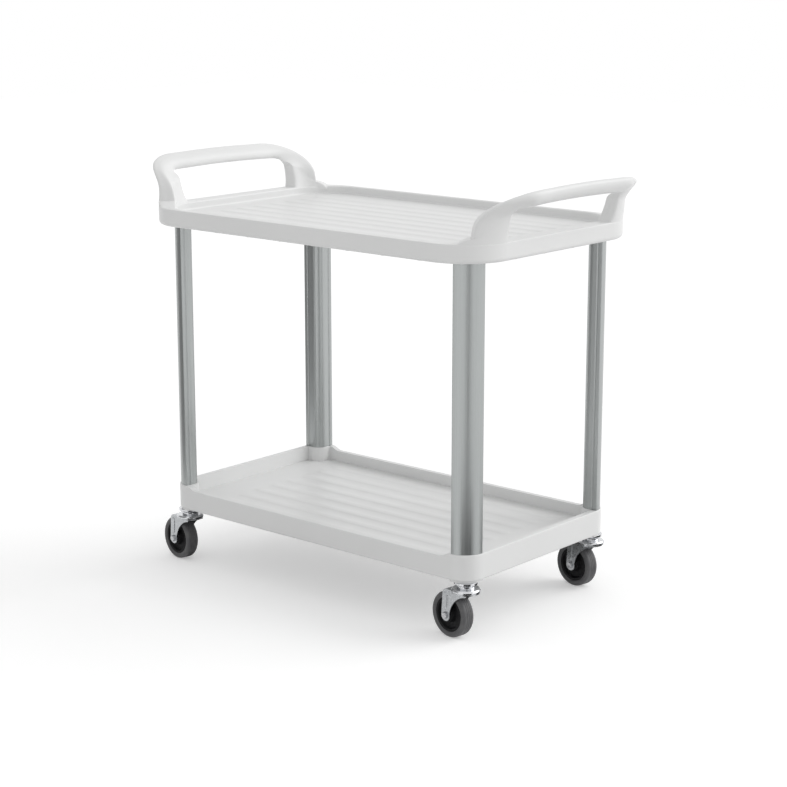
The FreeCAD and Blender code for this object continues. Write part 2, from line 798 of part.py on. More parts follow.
def make_nut():
    base = Vector(-fork_trail, fork_half_width, wheel_radius)
    bore = Part.makeCylinder(axle_radius + running_fit, nut_height, base, Vector(0, 1, 0))
    return hexagon(bolt_head_flats, nut_height, base, 1).cut(bore)


def make_sleeve():
    base = Vector(-fork_trail, -fork_gap / 2, wheel_radius)
    return tube(sleeve_radius, axle_radius + running_fit, fork_gap, base, Vector(0, 1, 0))


def make_bush():
    base = Vector(-fork_trail, -hub_length / 2, wheel_radius)
    return tube(bush_radius, bush_inner_radius, hub_length, base, Vector(0, 1, 0))


def make_core():
    hub, rim = hub_diameter / 2, core_diameter / 2
    rim_inner = rim - core_rim_depth
    hub_y, web_y, rim_y = hub_length / 2, core_web_width / 2, core_rim_width / 2
    half = [
        (bush_radius, hub_y),
        (hub, hub_y),
        (hub + core_hub_taper, web_y),
        (rim_inner - core_rim_taper, web_y),
        (rim_inner, rim_y),
        (rim, rim_y),
    ]
    return on_axle(revolved(half + [(r, -y) for r, y in reversed(half)]))


def make_tyre():
    core, tread = core_diameter / 2, wheel_radius
    side = tyre_width / 2
    foot_y = core_rim_width / 2
    crown_y = side - tyre_shoulder
    middle = tread - tyre_shoulder

    def shoulder(sign):
        half = tyre_shoulder * math.sqrt(0.5)
        return Part.Arc(
            Vector(tread, 0, sign * crown_y),
            Vector(middle + half, 0, sign * (crown_y + half)),
            Vector(middle, 0, sign * side),
        ).toShape()

    def line(a, b):
        return Part.LineSegment(Vector(a[0], 0, a[1]), Vector(b[0], 0, b[1])).toShape()

    edges = [
        line((tread, -crown_y), (tread, crown_y)),
        shoulder(1),
        line((middle, side), (core, foot_y)),
        line((core, foot_y), (core, -foot_y)),
        line((core, -foot_y), (middle, -side)),
        shoulder(-1),
    ]
    face = Part.Face(Part.Wire(Part.__sortEdges__(edges)))
    return on_axle(face.revolve(ORIGIN, UP, 360))


def under_corner(shape, sx, sy):
    """A caster piece, turned to the casters' common heading and set under a corner."""
    placed = shape.copy()
    placed.rotate(ORIGIN, UP, -caster_yaw)
    placed.translate(Vector(sx * caster_x, sy * caster_y, 0))
    return placed


def build():
    """Every node of the cart by name."""
    nodes = {
        "top_shelf": make_top_shelf(),
        "bottom_shelf": make_bottom_shelf(),
        "upper_fixing_screws": make_fixing_screws(),
    }
    upright, insert = make_upright(), make_insert()
    caster = {
        "caster_stem": make_stem(),
        "caster_cup": make_cup(),
        "caster_fork": make_fork(),
        "caster_balls": make_balls(),
        "caster_bolt": make_bolt(),
        "caster_nut": make_nut(),
        "caster_sleeve": make_sleeve(),
        "wheel_bush": make_bush(),
        "wheel_core": make_core(),
        "wheel_tyre": make_tyre(),
    }
    for corner, (sx, sy) in CORNERS.items():
        nodes["upright_" + corner] = at_corner(upright, sx, sy)
        nodes["stem_insert_" + corner] = at_corner(insert, sx, sy)
        for name, shape in caster.items():
            nodes[name + "_" + corner] = under_corner(shape, sx, sy)
    return nodes


os.makedirs("parts", exist_ok=True)
for node, shape in build().items():
    shape.exportStep("parts/" + node + ".step")
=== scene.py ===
# Looks of a two-shelf utility cart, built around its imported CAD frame. Metres, in the CAD frame.
import json
import math

import bmesh
import bpy
from mathutils import Matrix, Vector


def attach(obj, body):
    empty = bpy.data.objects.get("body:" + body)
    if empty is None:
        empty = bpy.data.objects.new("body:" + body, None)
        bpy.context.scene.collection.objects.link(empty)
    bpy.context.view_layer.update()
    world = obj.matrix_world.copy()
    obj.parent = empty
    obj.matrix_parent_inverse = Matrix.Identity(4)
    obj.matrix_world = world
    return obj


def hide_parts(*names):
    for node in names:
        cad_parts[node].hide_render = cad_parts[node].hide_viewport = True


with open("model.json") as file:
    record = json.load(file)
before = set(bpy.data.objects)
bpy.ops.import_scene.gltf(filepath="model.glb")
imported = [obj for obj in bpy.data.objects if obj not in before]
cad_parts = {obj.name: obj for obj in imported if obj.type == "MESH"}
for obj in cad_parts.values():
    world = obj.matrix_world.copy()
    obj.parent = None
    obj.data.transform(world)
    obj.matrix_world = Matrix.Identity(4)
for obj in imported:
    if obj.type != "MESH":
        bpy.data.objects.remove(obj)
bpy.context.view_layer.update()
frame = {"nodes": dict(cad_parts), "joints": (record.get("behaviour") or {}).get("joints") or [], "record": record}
nodes = frame["nodes"]
joints = {joint["name"]: joint for joint in frame["joints"]}
record = frame["record"]
slots = {part["node"]: part["material_slot"] for part in record["subparts"]}
bodies = record["behaviour"]["bodies"]
body_of = {node: body for body, members in bodies.items() for node in members}

CORNERS = ("front_left", "front_right", "rear_left", "rear_right")
UP = Vector((0, 0, 1))
MM = 0.001

# Points closer than this are one point, and facets that meet within this angle are one flat.
NEAR = 0.002 * MM
FLAT_ANGLE = math.radians(0.6)

# Edges: the angles from which one counts as sharp, and the width of the bevel that eases it,
# by the start of the CAD node's name.
SHARP_ANGLE = math.radians(32)
FASTENER_SHARP_ANGLE = math.radians(28)
BEVEL_STEPS = 3
BEVEL_WIDTHS = {
    "wheel_core_": 0.7 * MM,
    "caster_cup_": 0.8 * MM,
    "caster_stem_": 0.6 * MM,
}

# Deck ribs: those of the CAD with a soft section. A share of the height is a broad swell over the
# whole pitch, and the rest is a flank between crest and foot. An end is where the straight rib stops.
RIB_COUNT = 8
RIB_PITCH = 54.0 * MM
RIB_HEIGHT = 2.5 * MM
RIB_SWELL = 0.65
RIB_CREST = 7.0 * MM
RIB_FOOT = 15.0 * MM
RIB_ENDS = {"bottom_shelf": 326.5 * MM, "top_shelf": 375.0 * MM}
RIB_STEPS = 12
RIB_COLUMNS = 8
RIB_PROBE = 0.05 * MM
FACES_UP = 0.5
SPOT_DIGITS = 6

# Tyres: the line stands on the side wall at a share of its height, and the rings are cut in the tread.
RIM_WIDTH = 27.0 * MM
TYRE_STEPS = 144
TYRE_FOOT_ROUND = 0.4 * MM
TYRE_WALL_ROUND = 1.0 * MM
TYRE_SHOULDER = 7.0 * MM
TYRE_SHOULDER_STEPS = 8
TYRE_LINE_SHARE = 0.42
TYRE_LINE_HALF_WIDTH = 0.5 * MM
TYRE_LINE_LIFT = 0.3 * MM
TYRE_LINE_SECTION = ((-1.0, 0.0), (-0.5, TYRE_LINE_LIFT), (0.5, TYRE_LINE_LIFT), (1.0, 0.0))
TREAD_RINGS = (5.0 * MM, 0.0, -5.0 * MM)
TREAD_RING_WIDTH = 1.4 * MM
TREAD_RING_FLOOR_SHARE = 0.6
TREAD_RING_DEPTH = 0.6 * MM
TREAD_RING_ROUND = 0.15 * MM
ROUND_STEPS = 3

# Forks: the radius of the crown's rolled rear edge, and the easing of all edges.
FORK_ROLL = 10.0 * MM
FORK_ROLL_STEPS = 6
FORK_CROWN_BAND = 0.1 * MM
FORK_BEVEL = 0.6 * MM

# Axle bolts and lock nuts. The thread's section is given in shares of its pitch and depth.
AXLE_DIAMETER = 8.0 * MM
FASTENER_STEPS = 48
SEAT_HEIGHT = 0.4 * MM
FACE_CHAMFER = 0.3 * MM
HEXAGON_CHAMFER = math.radians(30)
HEXAGON_CHAMFER_SHARES = (1.0, 0.8, 0.6, 0.4, 0.2, 0.0)
HEAD_DISH_DEPTH = 0.3 * MM
HEAD_DISH_SHARE = 0.6
THREAD_PITCH = 1.25 * MM
THREAD_DEPTH = 0.55 * MM
THREAD_SECTION = ((0.0, 0.0), (0.2, 0.0), (0.55, 1.0), (0.65, 1.0))
BOLT_TIP = 0.5 * MM
NUT_COLLAR_HEIGHT = 2.0 * MM
NUT_COLLAR_INSET = 0.4 * MM
NUT_COLLAR_ROUND = 0.8 * MM
NUT_COLLAR_STEPS = 4
NUT_BORE_GAP = 0.05 * MM
NUT_BORE_CHAMFER = 0.6 * MM

# Finishes: linear colours, and the range in which most of a noise texture's values lie.
NOISE_SPAN = (0.3, 0.7)
WHITE_PLASTIC = (0.80, 0.803, 0.80)
ALUMINIUM = (0.42, 0.438, 0.436)
RUBBER = (0.098, 0.098, 0.102)
RUBBER_DUST = (0.17, 0.168, 0.165)
DARK_PLASTIC = (0.045, 0.045, 0.05)
BLACK_PLASTIC = (0.006, 0.006, 0.007)
BUSH_PLASTIC = (0.72, 0.71, 0.65)
PLATED_STEEL = (0.70, 0.71, 0.73)
FORK_STEEL = (0.54, 0.555, 0.57)
BALL_STEEL = (0.60, 0.61, 0.63)
FASTENER_STEEL = (0.58, 0.585, 0.60)

# Floor and light. The key light's azimuth is in degrees round from +X.
FLOOR_REACH = 12.0
FLOOR_GREYS = (0.80, 0.81)
FLOOR_LIFT = 0.34
WHITE = (1.0, 1.0, 1.0, 1.0)
BLACK = (0.0, 0.0, 0.0, 1.0)
WORLD_STRENGTH = 0.70
KEY_AZIMUTH = 50.0
KEY_ELEVATION = 30.0
KEY_SPREAD = 50.0
KEY_STRENGTH = 1.3
KEY_DISTANCE = 4.0

# Cards that only reflections show. Their azimuths are in degrees round from -Y to +X.
GREY_CARDS = (  # name, azimuth, distance, width, height, level of grey
    ("card_left", -48.0, 1.25, 1.3, 2.0, 0.30),
    ("card_front", 52.0, 1.6, 0.42, 2.0, 0.45),
)
FLOOR_CARD_SECTORS = (  # first and last azimuth, inner and outer radius
    (16.0, 82.0, 0.12, 1.0),
    (125.0, 170.0, 0.12, 1.0),
    (-150.0, -90.0, 0.12, 1.0),
    (-90.0, -22.0, 0.47, 0.80),
)
FLOOR_CARD_LEVEL = 0.03
FLOOR_CARD_HEIGHT = 2 * MM
SECTOR_STEPS = 8
CARD_MOTTLE = 1.1

# Camera, fitted to the photograph. Its azimuth and pitch are in degrees.
CAMERA_AZIMUTH = 40.803
CAMERA_PITCH = 13.040
CAMERA_LENS = 89.20
CAMERA_PLACE = (2.8664, -3.2930, 1.4461)
CAMERA_FAR = 100.0


# Procedural materials


class Graph:
    """A material's node tree around one Principled shader, with short calls for what finishes share."""

    def __init__(self, name):
        self.material = bpy.data.materials.new(name)
        self.material.use_nodes = True
        self.tree = self.material.node_tree
        self.shader = self.tree.nodes["Principled BSDF"]
        self.place = self.add("ShaderNodeTexCoord").outputs["Object"]

    def add(self, kind, **settings):
        """A new node with these settings."""
        node = self.tree.nodes.new(kind)
        for key, value in settings.items():
            setattr(node, key, value)
        return node

    def link(self, source, target):
        """Joins an output to an input."""
        self.tree.links.new(source, target)

    def put(self, target, value):
        """Links a socket or writes a constant into an input."""
        if isinstance(value, bpy.types.NodeSocket):
            self.link(value, target)
        else:
            target.default_value = value

    def stretched(self, stretch):
        """The piece's own coordinates, scaled on each axis."""
        mapping = self.add("ShaderNodeMapping")
        self.link(self.place, mapping.inputs["Vector"])
        mapping.inputs["Scale"].default_value = stretch
        return mapping.outputs["Vector"]

    def noise(self, scale, detail, roughness=0.5, stretch=None, distortion=0.0):
        """Soft noise in the piece's own coordinates."""
        node = self.add("ShaderNodeTexNoise")
        self.link(self.stretched(stretch) if stretch else self.place, node.inputs["Vector"])
        node.inputs["Scale"].default_value = scale
        node.inputs["Detail"].default_value = detail
        node.inputs["Roughness"].default_value = roughness
        node.inputs["Distortion"].default_value = distortion
        return node.outputs["Fac"]

    def cells(self, scale):
        """The distance to the nearest of scattered points."""
        node = self.add("ShaderNodeTexVoronoi", feature="F1")
        self.link(self.place, node.inputs["Vector"])
        node.inputs["Scale"].default_value = scale
        return node.outputs["Distance"]

    def between(self, value, span, result=(0.0, 1.0)):
        """A value carried from one range to another, smoothly and held at the ends."""
        node = self.add("ShaderNodeMapRange", interpolation_type="SMOOTHSTEP")
        self.link(value, node.inputs["Value"])
        for name, (low, high) in (("From", span), ("To", result)):
            node.inputs[name + " Min"].default_value = low
            node.inputs[name + " Max"].default_value = high
        return node.outputs["Result"]

    def maths(self, operation, first, second):
        """One operation on two values."""
        node = self.add("ShaderNodeMath", operation=operation)
        self.put(node.inputs[0], first)
        self.put(node.inputs[1], second)
        return node.outputs["Value"]

    def mixed(self, factor, first, second):
        """A colour between two colours."""
        node = self.add("ShaderNodeMix", data_type="RGBA")
        self.put(node.inputs["Factor"], factor)
        for socket, colour in ((node.inputs["A"], first), (node.inputs["B"], second)):
            self.put(socket, colour if isinstance(colour, bpy.types.NodeSocket) else (*colour, 1.0))
        return node.outputs["Result"]

    def facing_up(self):
        """1 where the surface faces straight up, falling to 0 on the sides."""
        split = self.add("ShaderNodeSeparateXYZ")
        self.link(self.add("ShaderNodeNewGeometry").outputs["Normal"], split.inputs["Vector"])
        return self.between(split.outputs["Z"], (0.85, 0.97))

    def bumped(self, height, depth, strength):
        """Adds relief of this depth to the shader's normal, over any relief that is there."""
        node = self.add("ShaderNodeBump")
        self.link(height, node.inputs["Height"])
        node.inputs["Distance"].default_value = depth
        node.inputs["Strength"].default_value = strength
        target = self.shader.inputs["Normal"]
        if target.is_linked:
            self.link(target.links[0].from_socket, node.inputs["Normal"])
        self.link(node.outputs["Normal"], target)

    def finish(self, colour, roughness, metallic=0.0, **constants):
        """Fills in the shader's inputs and gives the material."""
        self.put(self.shader.inputs["Base Color"], colour)
        self.put(self.shader.inputs["Roughness"], roughness)
        self.shader.inputs["Metallic"].default_value = metallic
        for name, value in constants.items():
            self.shader.inputs[name.replace("_", " ")].default_value = value
        return self.material


def tint(colour, share):
    """A colour made lighter or darker."""
    return tuple(channel * share for channel in colour)


def shelf_plastic():
    """White semi-gloss moulding: fine grain, slight flow marks, faint rub marks on what faces up."""
    g = Graph("shelf_plastic")
    clouds = g.between(g.noise(scale=5.0, detail=2.0), NOISE_SPAN)
    colour = g.mixed(clouds, tint(WHITE_PLASTIC, 0.988), tint(WHITE_PLASTIC, 1.008))
    streaks = g.noise(1.0, detail=4.0, roughness=0.6, stretch=(14.0, 260.0, 60.0), distortion=0.4)
    worn = g.maths("MULTIPLY", g.between(streaks, (0.60, 0.80)), g.facing_up())
    colour = g.mixed(g.maths("MULTIPLY", worn, 0.06), colour, tint(WHITE_PLASTIC, 0.90))
    gloss = g.between(g.noise(scale=38.0, detail=4.0), NOISE_SPAN, (0.34, 0.40))
    gloss = g.maths("ADD", gloss, g.maths("MULTIPLY", worn, 0.03))
    g.bumped(g.noise(scale=16.0, detail=0.0), depth=0.2 * MM, strength=0.08)
    g.bumped(g.noise(scale=1500.0, detail=2.0), depth=0.02 * MM, strength=0.15)
    return g.finish(colour, gloss, Specular_IOR_Level=0.28)


def upright_aluminium():
    """Satin extruded aluminium, with die lines along its length."""
    g = Graph("upright_aluminium")
    lines = g.noise(1.0, detail=4.0, roughness=0.6, stretch=(1100.0, 1100.0, 2.2))
    bands = g.noise(1.0, detail=2.0, stretch=(90.0, 90.0, 1.4))
    colour = g.mixed(g.between(lines, NOISE_SPAN), tint(ALUMINIUM, 0.93), tint(ALUMINIUM, 1.07))
    colour = g.mixed(g.between(bands, (0.35, 0.65), (0.0, 0.5)), colour, tint(ALUMINIUM, 1.03))
    gloss = g.between(lines, NOISE_SPAN, (0.27, 0.37))
    g.bumped(lines, depth=0.02 * MM, strength=0.5)
    return g.finish(colour, gloss, metallic=1.0, Anisotropic=0.3)


def plated(name, colour, gloss_range, spangle):
    """Zinc-plated steel: a faint crystal pattern, with handling marks in the gloss."""
    g = Graph(name)
    crystals = g.between(g.cells(spangle), (0.1, 0.7))
    shade = g.mixed(crystals, tint(colour, 1.05), tint(colour, 0.93))
    marks = g.noise(scale=160.0, detail=5.0, roughness=0.6)
    shade = g.mixed(g.between(marks, (0.52, 0.75), (0.0, 0.4)), shade, tint(colour, 0.86))
    gloss = g.between(marks, (0.3, 0.72), gloss_range)
    g.bumped(g.noise(scale=700.0, detail=3.0), depth=0.02 * MM, strength=0.35)
    return g.finish(shade, gloss, metallic=1.0)


def moulded(name, colour, gloss_range, shine):
    """Dark or plain moulded plastic with a fine grain."""
    g = Graph(name)
    clouds = g.between(g.noise(scale=60.0, detail=4.0), NOISE_SPAN)
    shade = g.mixed(clouds, tint(colour, 0.85), tint(colour, 1.18))
    gloss = g.between(g.noise(scale=300.0, detail=4.0), NOISE_SPAN, gloss_range)
    g.bumped(g.noise(scale=1800.0, detail=2.0), depth=0.04 * MM, strength=0.5)
    return g.finish(shade, gloss, Specular_IOR_Level=shine)


def tyre_rubber():
    """Dark grey rubber, dusty and scuffed in spots."""
    g = Graph("tyre_rubber")
    dust = g.between(g.noise(scale=45.0, detail=6.0, roughness=0.62), (0.42, 0.72))
    colour = g.mixed(g.maths("MULTIPLY", dust, 0.5), RUBBER, RUBBER_DUST)
    specks = g.between(g.cells(900.0), (0.0, 0.22))
    colour = g.mixed(specks, tint(RUBBER, 0.7), colour)
    gloss = g.between(dust, (0.0, 1.0), (0.48, 0.66))
    g.bumped(g.noise(scale=900.0, detail=3.0), depth=0.06 * MM, strength=0.5)
    return g.finish(colour, gloss, Specular_IOR_Level=0.45)


finishes = {
    "shelf_plastic": shelf_plastic(),
    "upright_aluminium": upright_aluminium(),
    "insert_plastic": moulded("insert_plastic", DARK_PLASTIC, (0.45, 0.6), shine=0.4),
    "plated_steel": plated("plated_steel", PLATED_STEEL, (0.10, 0.24), spangle=260.0),
    "fork_steel": plated("fork_steel", FORK_STEEL, (0.24, 0.36), spangle=180.0),
    "ball_steel": plated("ball_steel", BALL_STEEL, (0.12, 0.25), spangle=400.0),
    "fastener_steel": plated("fastener_steel", FASTENER_STEEL, (0.22, 0.38), spangle=300.0),
    "bush_plastic": moulded("bush_plastic", BUSH_PLASTIC, (0.4, 0.55), shine=0.4),
    "wheel_core_plastic": moulded("wheel_core_plastic", BLACK_PLASTIC, (0.5, 0.65), shine=0.2),
    "tyre_rubber": tyre_rubber(),
}

for name, piece in nodes.items():
    piece.data.materials.clear()
    piece.data.materials.append(finishes[slots[name]])


# Pieces


def put_in_scene(name, data):
    """A new object in the scene that shows this data."""
    thing = bpy.data.objects.new(name, data)
    bpy.context.scene.collection.objects.link(thing)
    return thing


def add_piece(mesh, name, node):
    """Puts a mesh in the scene in the place of a CAD node, on that node's body and with its finish."""
    mesh.materials.append(finishes[slots[node]])
    piece = put_in_scene(name, mesh)
    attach(piece, body_of[node])
    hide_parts(node)
    return piece


def axle_of(corner):
    """The direction of a caster's axle."""
    return Vector(joints[corner + "_roll"]["axis"]).normalized()


def caster_place(corner):
    """A caster's own frame: the origin is where its swivel axis meets the floor, Y is the axle's way."""
    axle = axle_of(corner)
    place = Matrix((axle.cross(UP), axle, UP)).transposed().to_4x4()
    x, y, _ = joints[corner + "_swivel"]["pos_m"]
    place.translation = (x, y, 0)
    return place


def wheel_place(corner):
    """A wheel's own frame: Z runs along the axle from the wheel's middle."""
    axle = axle_of(corner)
    place = Matrix((axle.cross(UP), -UP, axle)).transposed().to_4x4()
    place.translation = joints[corner + "_roll"]["pos_m"]
    return place


def points_in(node, place):
    """The vertices of a CAD node in the frame of a place."""
    inverse = place.inverted()
    return [inverse @ vertex.co for vertex in nodes[node].data.vertices]


def extent(node, place):
    """The lowest and highest coordinates of a CAD node in the frame of a place."""
    points = points_in(node, place)
    return Vector(map(min, zip(*points))), Vector(map(max, zip(*points)))


def fall(value, start, stop):
    """1 up to the start and 0 from the stop on, with a smooth fall between them."""
    share = min(max((value - start) / (stop - start), 0.0), 1.0)
    return 1 - share * share * (3 - 2 * share)


def rib_rise(x, y, end):
    """How high the deck ribs stand at a spot: a broad swell and a soft flank each, with round ends."""
    beside = RIB_PITCH / 2
    if abs(y) < RIB_COUNT / 2 * RIB_PITCH:
        beside = abs(abs(y) % RIB_PITCH - RIB_PITCH / 2)
    away = math.hypot(max(abs(x) - end, 0.0), beside)
    swell = RIB_SWELL * fall(away, 0.0, RIB_PITCH / 2)
    return RIB_HEIGHT * (swell + (1 - RIB_SWELL) * fall(away, RIB_CREST, RIB_FOOT))


def rib_normal(x, y, end):
    """The upward normal of the ribbed deck at a spot."""
    before_x, after_x = rib_rise(x - RIB_PROBE, y, end), rib_rise(x + RIB_PROBE, y, end)
    before_y, after_y = rib_rise(x, y - RIB_PROBE, end), rib_rise(x, y + RIB_PROBE, end)
    slope_x = (after_x - before_x) / (2 * RIB_PROBE)
    slope_y = (after_y - before_y) / (2 * RIB_PROBE)
    return Vector((-slope_x, -slope_y, 1)).normalized()


def deck_patch(rim_edges, level, end):
    """A deck with soft ribs, filled out to the edges of its rim, as points and faces."""
    work = bmesh.new()
    rim = {spot: work.verts.new((*spot, level)) for edge in rim_edges for spot in edge}
    for first, second in rim_edges:
        work.edges.new((rim[first], rim[second]))
    reach = RIB_PITCH / 2
    outer = [end + reach * step / RIB_STEPS for step in range(RIB_STEPS + 1)]
    inner = [end * (2 * step / RIB_COLUMNS - 1) for step in range(1, RIB_COLUMNS)]
    columns = [-x for x in reversed(outer)] + inner + outer
    half = RIB_COUNT * RIB_STEPS
    rows = [reach * step / RIB_STEPS for step in range(-half, half + 1)]
    grid = [[work.verts.new((x, y, level + rib_rise(x, y, end))) for y in rows] for x in columns]
    for here, there in zip(grid, grid[1:]):
        for index in range(len(rows) - 1):
            work.faces.new((here[index], there[index], there[index + 1], here[index + 1]))
    border = [edge for edge in work.edges if len(edge.link_faces) < 2]
    bmesh.ops.triangle_fill(work, use_beauty=True, use_dissolve=False, edges=border, normal=UP)
    bmesh.ops.recalc_face_normals(work, faces=work.faces)
    if sum(face.normal.z for face in work.faces) < 0:
        bmesh.ops.reverse_faces(work, faces=work.faces)
    work.verts.index_update()
    points = [vertex.co.copy() for vertex in work.verts]
    faces = [[vertex.index for vertex in face.verts] for face in work.faces]
    work.free()
    return points, faces


def make_tray(node, end):
    """A shelf with the flat-topped deck ribs of its CAD solid moulded as soft waves."""
    source = nodes[node].data
    places = [vertex.co.copy() for vertex in source.vertices]
    corner_normals = [corner.vector.copy() for corner in source.corner_normals]
    reach, side = end + RIB_PITCH / 2, RIB_COUNT / 2 * RIB_PITCH
    rib_top = max(p.z for p in places if abs(p.x) < end + RIB_HEIGHT and abs(p.y) < side)
    level = rib_top - RIB_HEIGHT
    on_deck = [abs(p.z - level) < NEAR for p in places]
    in_ribs = [abs(p.x) < reach and abs(p.y) < side and p.z > level - NEAR for p in places]
    points, faces, normals = [], [], []
    index_of, uses = {}, {}
    for polygon in source.polygons:
        around = list(polygon.vertices)
        dropped = all(on_deck[i] for i in around) or all(in_ribs[i] for i in around)
        if dropped and polygon.normal.z > FACES_UP:
            for pair in zip(around, around[1:] + around[:1]):
                if all(on_deck[i] for i in pair):
                    spots = (places[i] for i in pair)
                    edge = tuple(sorted(
                        (round(p.x, SPOT_DIGITS), round(p.y, SPOT_DIGITS)) for p in spots))
                    uses[edge] = uses.get(edge, 0) + 1
            continue
        for i in around:
            if i not in index_of:
                index_of[i] = len(points)
                points.append(places[i])
        faces.append([index_of[i] for i in around])
        normals += [corner_normals[loop] for loop in polygon.loop_indices]
    rim_edges = [edge for edge, count in uses.items() if count == 1]
    deck_points, deck_faces = deck_patch(rim_edges, level, end)
    start = len(points)
    points += deck_points
    for face in deck_faces:
        faces.append([start + i for i in face])
        normals += [rib_normal(deck_points[i].x, deck_points[i].y, end) for i in face]
    mesh = bpy.data.meshes.new("tray_" + node)
    mesh.from_pydata(points, [], faces)
    mesh.shade_smooth()
    mesh.normals_split_custom_set(normals)
    add_piece(mesh, "tray_" + node, node)


def soften(piece, width):
    """Rounds the sharp edges of a CAD node, or of a piece made from one, by modifiers."""
    piece.modifiers.new("weld", "WELD").merge_threshold = NEAR
    flats = piece.modifiers.new("flats", "DECIMATE")
    flats.decimate_type = "DISSOLVE"
    flats.angle_limit = FLAT_ANGLE
    bevel = piece.modifiers.new("edges", "BEVEL")
    bevel.width = width
    bevel.segments = BEVEL_STEPS
    bevel.limit_method = "ANGLE"
    bevel.angle_limit = SHARP_ANGLE
    bevel.use_clamp_overlap = True
    piece.modifiers.new("shading", "WEIGHTED_NORMAL").keep_sharp = False


def eased(corners):
    """An outline with rounded corners, from the (x, y, radius) corners of a closed one."""
    points = []
    for index, (x, y, radius) in enumerate(corners):
        corner = Vector((x, y))
        if radius == 0:
            points.append(corner)
            continue
        before = (Vector(corners[index - 1][:2]) - corner).normalized()
        after = (Vector(corners[(index + 1) % len(corners)][:2]) - corner).normalized()
        half = before.angle(after) / 2
        middle = corner + (before + after).normalized() * radius / math.sin(half)
        start = corner + before * radius / math.tan(half) - middle
        sweep = start.angle_signed(corner + after * radius / math.tan(half) - middle)
        for step in range(ROUND_STEPS + 1):
            spoke = start.copy()
            spoke.rotate(Matrix.Rotation(-sweep * step / ROUND_STEPS, 2))
            points.append(middle + spoke)
    return points


def lathe(name, outline, steps, place, node):
    """A turned piece: a closed outline of (radius, height) points swept round the Z axis of a place."""
    mesh = bpy.data.meshes.new(name)
    count = len(outline)
    points = []
    for step in range(steps):
        turn = 2 * math.pi * step / steps
        for radius, height in outline:
            points.append(place @ Vector((radius * math.cos(turn), radius * math.sin(turn), height)))
    faces = []
    for step in range(steps):
        here, there = step * count, (step + 1) % steps * count
        for index in range(count):
            after = (index + 1) % count
            faces.append((here + index, here + after, there + after, there + index))
    mesh.from_pydata(points, [], faces)
    mesh.shade_smooth()
    mesh.set_sharp_from_angle(angle=SHARP_ANGLE)
    add_piece(mesh, name, node)


def make_tyre(corner):
    """A solid rubber tyre with shallow rings in its tread and a moulded line on each side."""
    node = "wheel_tyre_" + corner
    place = wheel_place(corner)
    _, high = extent(node, place)
    foot = min(math.hypot(p.x, p.y) for p in points_in(node, place))
    tread, side = high.x, high.z
    crown = side - TYRE_SHOULDER
    wall = tread - TYRE_SHOULDER
    slope = (side - RIM_WIDTH / 2) / (wall - foot)
    line = foot + (wall - foot) * TYRE_LINE_SHARE
    half = [(foot, RIM_WIDTH / 2, TYRE_FOOT_ROUND)]
    for across, lift in TYRE_LINE_SECTION:
        radius = line + across * TYRE_LINE_HALF_WIDTH
        half.append((radius, RIM_WIDTH / 2 + (radius - foot) * slope + lift, 0))
    half.append((wall, side, TYRE_WALL_ROUND))
    for step in range(1, TYRE_SHOULDER_STEPS):
        turn = math.pi / 2 * step / TYRE_SHOULDER_STEPS
        out, up = TYRE_SHOULDER * math.sin(turn), TYRE_SHOULDER * math.cos(turn)
        half.append((wall + out, crown + up, 0))
    half.append((tread, crown, 0))
    edge = TREAD_RING_WIDTH / 2
    floor_edge = edge * TREAD_RING_FLOOR_SHARE
    deep = tread - TREAD_RING_DEPTH
    rings = []
    for middle in TREAD_RINGS:
        for radius, offset in ((tread, edge), (deep, floor_edge), (deep, -floor_edge), (tread, -edge)):
            rings.append((radius, middle + offset, TREAD_RING_ROUND))
    outline = half + rings + [(radius, -z, ease) for radius, z, ease in reversed(half)]
    lathe("tyre_" + corner, eased(outline), TYRE_STEPS, place, node)


def fastener_ring(middle, y, limit, flats=None):
    """A ring round an axle: a circle, cut off at a hexagon's flats where these are given."""
    points = []
    for step in range(FASTENER_STEPS):
        turn = 2 * math.pi * step / FASTENER_STEPS
        radius = limit
        if flats:
            radius = min(limit, flats / 2 / math.cos(turn % (math.pi / 3) - math.pi / 6))
        across, up = radius * math.cos(turn), radius * math.sin(turn)
        points.append(Vector((middle.x + across, y, middle.z + up)))
    return points


def ring_piece(name, rings, place, node, closed):
    """A piece skinned over rings, which join up at the ends if closed and are capped otherwise."""
    work = bmesh.new()
    loops = [[work.verts.new(place @ point) for point in ring] for ring in rings]
    pairs = list(zip(loops, loops[1:]))
    if closed:
        pairs.append((loops[-1], loops[0]))
    else:
        work.faces.new(loops[0])
        work.faces.new(loops[-1])
    for here, there in pairs:
        for index in range(FASTENER_STEPS):
            after = (index + 1) % FASTENER_STEPS
            work.faces.new((here[index], here[after], there[after], there[index]))
    bmesh.ops.recalc_face_normals(work, faces=work.faces)
    mesh = bpy.data.meshes.new(name)
    work.to_mesh(mesh)
    work.free()
    mesh.shade_smooth()
    mesh.set_sharp_from_angle(angle=FASTENER_SHARP_ANGLE)
    add_piece(mesh, name, node)


def hexagon_rings(middle, start, stop, flats):
    """Rings of a hexagon from its seat to its turned-off outer face."""
    way = math.copysign(1, stop - start)
    face = flats / 2 - FACE_CHAMFER
    seat = start + way * SEAT_HEIGHT
    rings = [fastener_ring(middle, start, face), fastener_ring(middle, seat, face)]
    rings.append(fastener_ring(middle, seat, flats, flats))
    corner = flats / math.sqrt(3)
    slope = math.tan(HEXAGON_CHAMFER)
    for share in HEXAGON_CHAMFER_SHARES:
        limit = face + (corner - face) * share
        rings.append(fastener_ring(middle, stop - way * (limit - face) * slope, limit, flats))
    return rings


